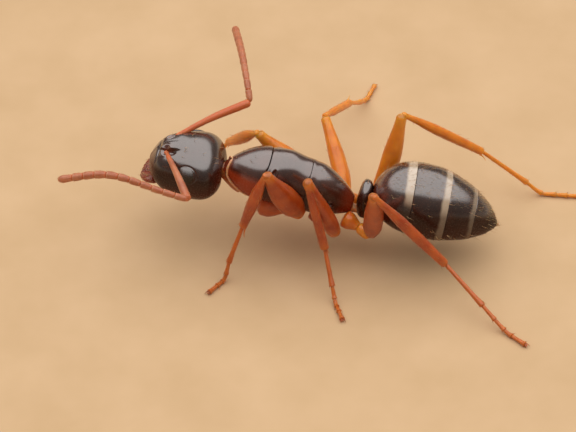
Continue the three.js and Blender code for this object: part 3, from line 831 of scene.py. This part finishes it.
def make_neck():
    """The narrow neck and its two side plates."""
    neck = Mesh()
    t = spread(30)
    path = straight(trunk.place((-0.44, 0, -0.02)), trunk.place((0.5, 0, -0.16)), len(t))
    r = (0.13 + 0.14 * ease(t, 0.1, 0.8)) * dome(t, 0.05)
    limb(neck, path, r, 1.15, 40, least=0.004, red=0.6)
    for side in (-1, 1):
        path = trunk.place(np.stack([-0.3 + 0.95 * t, side * (0.1 + 0.22 * t), -0.1 - 0.22 * t], -1))
        r = (0.07 + 0.17 * ease(t, 0, 0.8)) * dome(t, 0.12)
        limb(neck, path, r, 0.7, 32, least=0.004, red=0.7)
    neck.make("neck_and_side_plates", membrane, (), RED_BROWN)


# station along the trunk and degrees up from the side, down one side of the collar
COLLAR = ((0.035, 92), (0.02, 60), (0.015, 25), (0.03, -10), (0.09, -32), (0.17, -44), (0.27, -50))


def make_collar():
    """The collar round the front of the pronotum, painted pale along its length as a painted highlight."""
    collar = Mesh()
    t = spread(90)
    for side in (-1, 1):
        rim = []
        for at, angle in COLLAR:
            w, up, down = (float(p) for p in trunk_profile(np.array(at)))
            x, u = section(np.radians(angle), w, up, down, SQUARENESS.trunk)
            rim.append(trunk.place((at * TRUNK_LENGTH - 0.03, side * x * 1.01, u * 1.01)))
        r = (0.03 - 0.014 * ease(t, 0.4, 1.0)) * dome(t, 0.01, 0.02)
        # pale here is a painted highlight along the collar
        limb(collar, smooth_path(rim, len(t)), r, sides=12, pale=0.6)
    collar.make("pronotum_collar", membrane, (), RED_BROWN)


def make_petiole():
    lean = math.radians(PETIOLE.lean)
    scale = Axes(PETIOLE.foot, (0, math.sin(lean), math.cos(lean)), (1, 0, 0),
                 (0, math.cos(lean), -math.sin(lean)))
    t = spread(90)
    top = np.sqrt(np.maximum(0.0004, 1 - share(t, 0.7, 1) ** 2.4))
    bottom = np.sqrt(np.maximum(0.0004, 1 - share(-t, -0.16, 0) ** 2.2))
    w = PETIOLE.half * (0.55 + 0.45 * np.sin(np.minimum(1, t * 1.5) * math.pi / 2)) * top * bottom
    d = PETIOLE.thick * (0.78 + 0.2 * bump(t, 0.45, 0.3) - 0.14 * t**3) * np.sqrt(top) * bottom
    x, y = section(turns(120)[None, :], w[:, None], d[:, None], d[:, None], SQUARENESS.petiole)
    y = y - (0.05 * t**2)[:, None] * np.abs(x / PETIOLE.half) ** 2
    local = np.stack([np.broadcast_to((t * PETIOLE.height)[:, None], x.shape), x, y], -1)
    local[..., 0] += 0.015 * ease(t, 0.8, 1)[:, None] * bump(x, 0, 0.2)
    grid = scale.place(local)
    red = 0.75 * ease(-t, -0.45, -0.05)[:, None]
    Mesh().shell(grid, red=red).make("petiole_scale", black, ["petiole"], DARK)
    body_coat.cover(grid, 8, 0.16, 0.007, SQUARE.petiole, lambda v, w: v > 0.9, stand=0.9)


WAIST_PATHS = (((0, 1.58, 1.42), (0, 1.72, 1.36), (0, 2.0, 1.36)),
               ((0, 2.0, 1.36), (0, 2.3, 1.4), (0, 2.6, 1.56)))


def make_waist_joints():
    """The narrow joints before and behind the petiole."""
    stalk = Mesh()
    t = np.linspace(0, 1, 30)
    r = (0.17 - 0.05 * np.sin(math.pi * t)) * dome(t, 0.08)
    for points in WAIST_PATHS:
        limb(stalk, smooth_path(points, len(t)), r, 1.1, 32, least=0.003, pale=0.15)
    stalk.make("waist_joints", membrane, (), RED_BROWN)


# ---- gaster ----
gaster = Axes.between(GASTER.front, GASTER.tip)
GASTER_LENGTH = float(np.linalg.norm(np.subtract(GASTER.tip, GASTER.front)))
GASTER_END = 0.004  # stations nearer than this to its two points are left out
# width along the gaster, strength, and share kept below its middle of each ring's pale band; the band's fade
# towards the belly is painted shade
BANDS = ((0.075, 1.0, 0.03), (0.062, 0.95, 0.32), (0.045, 0.55, 0.4), (0.02, 0.0, 0.0), (0.02, 0.0, 0.0))


def gaster_profile(t):
    peak = 0.43
    front = share(-t, -peak, 0)
    rear = np.maximum(0, (t - peak) / (1 - peak))
    size = np.maximum(0.02, 1 - front**2.7) ** 0.5 * np.maximum(0.003, 1 - rear**1.75) ** 0.66
    return GASTER.half * size, GASTER.top * size, GASTER.bottom * size


def gaster_slant(t, across, upward):
    """The rings lean, but not at the gaster's two ends."""
    forward = SEGMENT_SLANT * upward / GASTER_LENGTH * ease(t, 0.0, 0.15) * ease(-t, -1.0, -0.93)
    return np.clip(t - forward, GASTER_END, 1 - GASTER_END)


def make_gaster():
    last = len(BANDS) - 1
    for k, (width, strength, low_part) in enumerate(BANDS):
        low, high = SEGMENT_ENDS[k], SEGMENT_ENDS[k + 1]
        start = max(low - (0.02 if k else 0), GASTER_END)  # a plate starts under the one before it
        stations = shell_stations(start, high - (GASTER_END if k == last else 0), 60, 0.003)
        local = body_grid(stations, GASTER_LENGTH, gaster_profile, turns(260), SQUARENESS.gaster,
                          gaster_slant)
        t = stations[:, None]
        angle, height = level(local), local[..., 2]
        past = (t - low) / (high - low)
        d = 0.012 * ease(past, 0.3, 1.0) - 0.028 * ease(-past, -0.06, 0.05) * (1 if k else 0)
        # the tergite's lower edge stands proud of the belly plate
        d = d - (0.03 * ease(-angle, 40, 44) + 0.012 * bump(angle, -42, 2))
        ragged = 0.004 * np.sin(7 * height + 2 * k) + 0.002 * np.sin(23 * height)
        band = strength * ease(t + ragged, high - width, high - width + 0.026)
        # each pale band is painted darker towards the belly: painted shade of the gaster's underside
        pale = 0.9 * band * (low_part + (1 - low_part) * ease(height, 0.5, 0.84))
        # the first plate's front slope is reddened: partly its own colour, partly a painted reflection of
        # reddish surroundings
        red = 0.55 * ease(-angle, -25, 45) + (0 if k else 0.85 * ease(-t, -0.2, -0.02))
        shade = 0.12 * bump((high - t) * GASTER_LENGTH, 0, 0.008)
        marks = marks_like(local, pale, np.clip(red, 0, 1), shade)
        local = local + grid_normals(local) * d[..., None]
        grid, marks = close_ends(gaster.place(local), marks)
        Mesh().shell(grid, marks).make(f"gaster_plate_{k + 1}", black, [f"gaster_{k + 1}"], DARK)
        grow_gaster_hairs(grid, k, high - low)


def grow_gaster_hairs(grid, k, length):
    """Down, bristles on the back, a row at the hind edge, short hairs on top, and long ones below.

    The first plate has none of the long ones.
    """
    square = SQUARE.gaster + k
    down_coat.cover(grid, int(2200 * length), 0.055, 0.0016, square, stand=0.12)
    body_coat.cover(grid, int(6 + 20 * length), 0.17, 0.005, square,
                    lambda v, w: 0.1 < v < 0.8 and w < 0.5, stand=0.7)
    body_coat.cover(grid, 22, 0.22, 0.006, square, lambda v, w: v > 0.86 and (w < 0.5 or w > 0.6), stand=0.45)
    body_coat.cover(grid, int(900 * length), 0.1, 0.0022, square, lambda v, w: 0.14 < w < 0.36, stand=0.5)
    if k:
        body_coat.cover(grid, 12, 0.24, 0.006, square, lambda v, w: w > 0.55, stand=0.7)


def make_acid_pore():
    """The nozzle at the gaster's tip, in its ring of hairs."""
    t = spread(24)
    tip = gaster.place((GASTER_LENGTH - 0.02, 0, 0))
    path = tip + gaster.axes[0] * (-0.08 + 0.1 * t)[:, None]
    nozzle = Mesh()
    grid = limb(nozzle, path, (0.075 - 0.03 * t) * dome(t, 0.1, 0.15), sides=32, red=0.7)
    nozzle.make("acid_pore", black, (), DARK)
    body_coat.cover(grid, 26, 0.1, 0.006, SQUARE.acid_pore, lambda v, w: v > 0.4, stand=0.25, jitter=0.12)


# ---- legs ----
def direction(side, yaw, pitch):
    yaw, pitch = math.radians(yaw), math.radians(pitch)
    flat = math.cos(pitch)
    return np.array([side * flat * math.cos(yaw), flat * math.sin(yaw), math.sin(pitch)])


def leg_joints(leg):
    """The leg's joints, the plane its knee bends in, and the foot's path from ankle to sole."""
    femur, tibia, chord = LEG_LENGTHS[leg["pair"]]
    mirror = np.array([leg["side"], 1, 1])
    root, hip = np.array(ROOTS[leg["pair"]]) * mirror, np.array(leg["hip"]) * mirror
    knee = hip + direction(leg["side"], *leg["femur"]) * femur
    ankle = knee + direction(leg["side"], *leg["tibia"]) * tibia
    drop = ankle[2] - FOOT_AXIS
    reach = math.sqrt(leg.get("chord", chord) ** 2 - drop**2)
    out = direction(leg["side"], leg["foot"], 0)
    sole = ankle + out * (reach + 0.12)
    bend, heel = ankle + out * reach * BEND_AT, ankle + out * (reach - leg.get("level", FOOT_LENGTH))
    sole[2], bend[2], heel[2] = SOLE_HEIGHT, 0.03 + drop * leg.get("arch", FOOT_ARCH), 0.075
    foot = smooth_path([ankle, bend, heel, sole])
    foot[:, 2] = np.maximum(foot[:, 2], SOLE_HEIGHT)
    bend_plane = unit(np.cross(knee - hip, ankle - knee))
    return Named(root=root, coxa_end=hip + unit(root - hip) * TROCHANTER_LENGTH, hip=hip, knee=knee,
                           ankle=ankle, foot=foot, bend_plane=bend_plane,
                           thick=unit(np.cross(bend_plane, knee - hip)))


def make_coxa(mesh, j, pair, square):
    t = spread(60)
    r = (HIP_RADIUS + (COXA_RADIUS[pair] - HIP_RADIUS) * (1 - ease(t, 0.35, 1.0))) * dome(t, 0.2, 0.06)
    grid = limb(mesh, straight(j.root, j.coxa_end, 60), r, 0.9, red=(0.3 * ease(t, 0.75, 1))[:, None])
    leg_coat.cover(grid, 60, 0.06, 0.0028, square, stand=0.15)


def make_trochanter(mesh, j, pair, square):
    t = spread(40)
    inward = unit(j.coxa_end - j.hip)
    run = straight(j.coxa_end + inward * 0.05, j.hip - inward * 0.06, 40)
    limb(mesh, run, (0.145 + 0.05 * np.sin(math.pi * t**1.3)) * dome(t, 0.25), red=0.6)


def make_femur(mesh, j, pair, square):
    t = spread(60)
    bow = 0.06 * np.sin(math.pi * t)[:, None] * j.thick
    swell = ease(t, -0.04, 0.26) - ease(t, 0.52 if pair == "hind" else 0.4, 1.0)
    r = (HIP_RADIUS + (FEMUR_RADIUS[pair] - HIP_RADIUS) * swell) * dome(t, 0.06, 0.055)
    r = r + 0.012 * bump(t, 0.965, 0.02)
    ends = np.clip(1 - ease(t, 0.0, 0.18) + ease(t, 0.8, 0.98), 0, 1)
    grid = limb(mesh, straight(j.hip, j.knee, 60) + bow, r, 0.9, up=j.thick,
                red=0.8 * ends[:, None], shade=0.4 * bump(t, 0.985, 0.02)[:, None])
    leg_coat.cover(grid, 240, 0.06, 0.0026, square, stand=0.12)
    leg_coat.cover(grid, 8, 0.13, 0.005, square, lambda v, w: 0.2 < v < 0.9, stand=0.6)


def make_tibia(mesh, j, pair, square):
    t = spread(60)
    hook = -0.035 * bump(t, 0.07, 0.07)[:, None] * j.thick
    wide = TIBIA_RADIUS[pair]
    r = 0.085 + (wide - 0.085) * ease(t, 0.02, 0.42) - (wide - 0.13) * ease(t, 0.55, 0.98)
    r = r * dome(t, 0.05, 0.03) + 0.02 * bump(t, 0.02, 0.02)
    grid = limb(mesh, straight(j.knee, j.ankle, 60) + hook, r, 0.88, up=j.bend_plane,
                red=(0.6 * (1 - ease(t, 0.03, 0.2)) + 0.4 * ease(t, 0.85, 1))[:, None])
    add_spur(mesh, j, pair)
    leg_coat.cover(grid, 240, 0.075, 0.0028, square + 1, stand=0.18)
    leg_coat.cover(grid, 12, 0.14, 0.006, square + 1, lambda v, w: v > 0.2, stand=0.45)


def add_spur(mesh, j, pair):
    """The spur inside the ankle. The fore leg's is bigger, as it cleans the feeler."""
    length, radius = (0.42, 0.03) if pair == "fore" else (0.3, 0.018)
    down = unit(j.ankle - j.knee)
    inner = -unit(j.thick - down * np.dot(j.thick, down))
    q = spread(20)
    path = j.ankle - down * 0.05 + inner * 0.11 + np.outer(q, down * length + inner * 0.09)
    path = path - np.outer(np.sin(math.pi * q), inner * 0.03)
    limb(mesh, path, radius * (1 - 0.85 * q) + 0.001, sides=10, red=0.8)


def add_tarsomeres(mesh, j, joints, square):
    t = spread(36)
    for k in joints:
        low, high = TARSOMERES[k], TARSOMERES[k + 1]
        run = resample(j.foot, low + (high + (0.012 if k < 4 else 0) - low) * t)
        slim, root, end = (0.062, 0.1, 0.05) if k else (0.07, 0.03, 0.02)
        r = (slim - 0.016 * (1 - t) + 0.016 * ease(t, 0.7, 1)) * dome(t, root, end)
        grid = limb(mesh, run, r, sides=20, red=0.5 if k else 0.35)
        leg_coat.cover(grid, 22 if k else 70, 0.08, 0.003, square + 2, stand=0.25)
        leg_coat.cover(grid, 5, 0.1, 0.006, square + 2, lambda v, w: v > 0.8, stand=0.4)


def make_basitarsus(mesh, j, pair, square):
    add_tarsomeres(mesh, j, range(1), square)


def make_tarsus(mesh, j, pair, square):
    """Four short joints, two curved claws and the pad between them."""
    add_tarsomeres(mesh, j, range(1, 5), square)
    end, out = j.foot[-1], unit(j.foot[-1] - j.foot[-6])
    across = unit(np.cross(out, (0, 0, 1)))
    q = spread(18)
    curve = np.outer(np.sin(math.pi * q * 0.9) * 0.035 - 0.05 * q**2, (0, 0, 1))
    for turn in (-1, 1):
        path = end - out * 0.03 + np.outer(q, out * 0.13 + across * turn * 0.075) + curve
        limb(mesh, path, 0.021 * (1 - 0.88 * q), sides=10, red=0.1, shade=0.3)
    path = end + np.outer(q * 0.09 - 0.03, out) - np.outer(0.02 * q, (0, 0, 1))
    limb(mesh, path, 0.034 * dome(q, 0.3), sides=16, pale=0.3)


def make_leg(leg, square):
    """Six pieces: red-brown near legs and coxae, amber hind coxae and hind trochanters, and far legs painted
    lighter amber as painted light.
    """
    side, pair = "l" if leg["side"] > 0 else "r", leg["pair"]
    # the far legs take the lit copy of the leg cuticle, painted lighter for light shining through them from
    # behind
    look = near_leg if side == "l" else far_leg_painted_backlight
    j = leg_joints(leg)
    for name, build, material, slot in (
        ("coxa", make_coxa, amber_leg if pair == "hind" else near_leg, RED_BROWN),
        ("trochanter", make_trochanter, amber_leg if pair == "hind" else look, RED_BROWN),
        ("femur", make_femur, look, AMBER),
        ("tibia", make_tibia, look, AMBER),
        ("basitarsus", make_basitarsus, look, AMBER),
        ("tarsus", make_tarsus, look, AMBER),
    ):
        mesh = Mesh()
        build(mesh, j, pair, square)
        mesh.make(f"{side}_{pair}_{name}_skin", material, [f"{side}_{pair}_{name}"], slot)


# ---- antennae ----
def make_scape(spec, square):
    tag = spec["name"]
    socket = head.place((SOCKET[0], spec["socket"] * SOCKET[1], SOCKET[2] - 0.05))
    elbow = np.array(spec["elbow"], float)
    whole = smooth_path([socket, (socket + elbow) / 2 + head.axes[2] * 0.08, elbow])
    t = spread(70)
    r = 0.072 + 0.045 * ease(t, 0.08, 0.95)
    r = (r - 0.018 * bump(t, 0.055, 0.03)) * dome(t, 0.025, 0.035)
    red = 0.9 * (1 - ease(t, 0.05, 0.3)) + 0.35 * ease(t, 0.85, 1)
    # the far scape is painted redder all along: painted light, for light shining through it from behind, as
    # on the far legs
    if tag == "r":
        red = np.maximum(red, 0.75)
    scape = Mesh()
    grid = limb(scape, resample(whole, t), r, red=red[:, None])
    feeler_coat.cover(grid, 150, 0.05, 0.0028, square, stand=0.12)
    q = spread(16)
    ball = socket + np.outer(q * 0.14 - 0.07, unit(whole[8] - whole[0]))
    limb(scape, ball, 0.075 * dome(q, 0.5), sides=20, red=1.0)
    scape.make(f"scape_skin_{tag}", feeler, [f"scape_{tag}"], "feeler_cuticle")


def make_funiculus(spec, square):
    """The whip beyond the elbow, as an inner and an outer piece."""
    tag = spec["name"]
    whip = smooth_path([spec["elbow"], *spec["bend"], spec["tip"]], 400)
    ends = np.cumsum([0, 0.105, 0.098] + [0.092] * (WHIP_JOINTS - 4) + [0.09, 0.125])
    ends = ends / ends[-1]
    t = spread(24)
    for half, joints in (("inner", range(INNER_JOINTS)), ("outer", range(INNER_JOINTS, WHIP_JOINTS))):
        rings = Mesh()
        for k in joints:
            run = resample(whip, np.minimum(1, ends[k] + (ends[k + 1] - ends[k]) * (t * 1.02)))
            r = (0.092 + 0.02 * ease(k / 10, 0, 0.8)) * (0.84 + 0.16 * ease(t, 0.0, 0.6))
            r = r * dome(t, 0.06 if k else 0.3, 0.4 if k == WHIP_JOINTS - 1 else 0.06)
            grid = limb(rings, run, r, sides=22, red=0.5 * (1 - ease(t, 0, 0.25))[:, None],
                        pale=0.5 * bump(t, 0.95, 0.08)[:, None])
            feeler_coat.cover(grid, 50, 0.045, 0.0026, square, stand=0.2)
        rings.make(f"funiculus_{half}_{tag}", feeler, [f"funiculus_{tag}_{half}"], "feeler_cuticle")


# ---- put the ant together ----
make_head()
for tag, side in (("l", 1), ("r", -1)):
    make_eye(tag, side)
    make_jaw(tag, side)
make_mouth()
make_trunk()
make_neck()
make_collar()
make_petiole()
make_waist_joints()
make_gaster()
make_acid_pore()
for k, leg in enumerate(LEGS):
    make_leg(leg, SQUARE.legs + 3 * k)
for k, spec in enumerate(ANTENNAE):
    make_scape(spec, SQUARE.feelers + 2 * k)
    make_funiculus(spec, SQUARE.feelers + 2 * k + 1)
body_coat.make("body_hairs", golden, (), RED_BROWN, coat=True)
down_coat.make("body_down", dusky, (), DARK, coat=True)
leg_coat.make("leg_hairs", tawny, (), AMBER, coat=True)
feeler_coat.make("feeler_hairs", tawny, (), "feeler_cuticle", coat=True)


# ---- floor, light and camera ----
FLOOR_HALF = 1.5  # metres, as are the softbox's place and size
SOFTBOX = Named(place=(-0.075, 0.0, 0.40), size=(1.45, 0.95), watts=5.3, colour=(1.0, 0.94, 0.91))
SKY_DIM, SKY_RIM = 0.13, 0.7  # strength of the light overhead, and in a thin band at the horizon
SKY_COLOUR = (1.0, 0.9, 0.78, 1)
VIEW_AZIMUTH, VIEW_ELEVATION = 98, 42
CAMERA_PLACE = (80.57, 11.18, 74.05)  # mm in the ant's own frame
LENS, SENSOR = 237.06, 36  # mm, focal length and width


def make_floor():
    look = Shade("pale_floor", Roughness=0.85, Specular_IOR_Level=0.2)
    look.feed("Base Color", look.mix(look.ranged(look.noise(0.4, 3)), (0.62, 0.43, 0.24), (0.68, 0.48, 0.28)))
    s = FLOOR_HALF
    mesh = bpy.data.meshes.new("floor")
    mesh.from_pydata([(-s, -s, 0), (s, -s, 0), (s, s, 0), (-s, s, 0)], [], [(0, 1, 2, 3)])
    mesh.materials.append(look.bumps((look.noise(6, 2), 0.05, 0.02)))
    floor = add_object("floor", mesh)


def make_softbox():
    """One wide lamp above the ant."""
    data = bpy.data.lights.new("softbox", "AREA")
    data.shape = "ELLIPSE"
    data.size, data.size_y = SOFTBOX.size
    data.energy = SOFTBOX.watts
    data.color = SOFTBOX.colour
    lamp = add_object("softbox", data)
    lamp.location = SOFTBOX.place
    lamp.rotation_mode = "QUATERNION"
    lamp.rotation_quaternion = Vector(SOFTBOX.place).to_track_quat("Z", "Y")


def make_room():
    """A dim room with a pale horizon."""
    world = bpy.data.worlds.new("surroundings")
    world.use_nodes = True
    tree = world.node_tree
    tree.nodes.clear()
    towards = tree.nodes.new("ShaderNodeTexCoord").outputs["Generated"]
    height = tree.nodes.new("ShaderNodeSeparateXYZ")
    glow = tree.nodes.new("ShaderNodeMapRange")
    glow.interpolation_type = "SMOOTHSTEP"
    for key, number in (("From Min", 0.02), ("From Max", 0.12), ("To Min", SKY_RIM), ("To Max", SKY_DIM)):
        glow.inputs[key].default_value = number
    sky = tree.nodes.new("ShaderNodeBackground")
    sky.inputs["Color"].default_value = SKY_COLOUR
    output = tree.nodes.new("ShaderNodeOutputWorld")
    tree.links.new(towards, height.inputs[0])
    tree.links.new(height.outputs["Z"], glow.inputs["Value"])
    tree.links.new(glow.outputs["Result"], sky.inputs["Strength"])
    tree.links.new(sky.outputs[0], output.inputs["Surface"])
    bpy.context.scene.world = world


def make_camera():
    azimuth, elevation = math.radians(VIEW_AZIMUTH), math.radians(VIEW_ELEVATION)
    flat = math.cos(elevation)
    back = Vector((math.sin(azimuth) * flat, -math.cos(azimuth) * flat, math.sin(elevation)))
    right = Vector((0, 0, 1)).cross(back).normalized()
    up = back.cross(right)
    data = bpy.data.cameras.new("camera")
    data.sensor_width, data.lens = SENSOR, LENS
    data.clip_start, data.clip_end = 0.005, 10
    place = Vector((SHIFT + CAMERA_PLACE).tolist()) * MM
    camera = add_object("camera", data)
    camera.matrix_world = Matrix.Translation(place) @ Matrix((right, up, back)).transposed().to_4x4()
    bpy.context.scene.camera = camera


make_floor()
make_softbox()
make_room()
make_camera()
bpy.context.scene.view_settings.view_transform = "Standard"
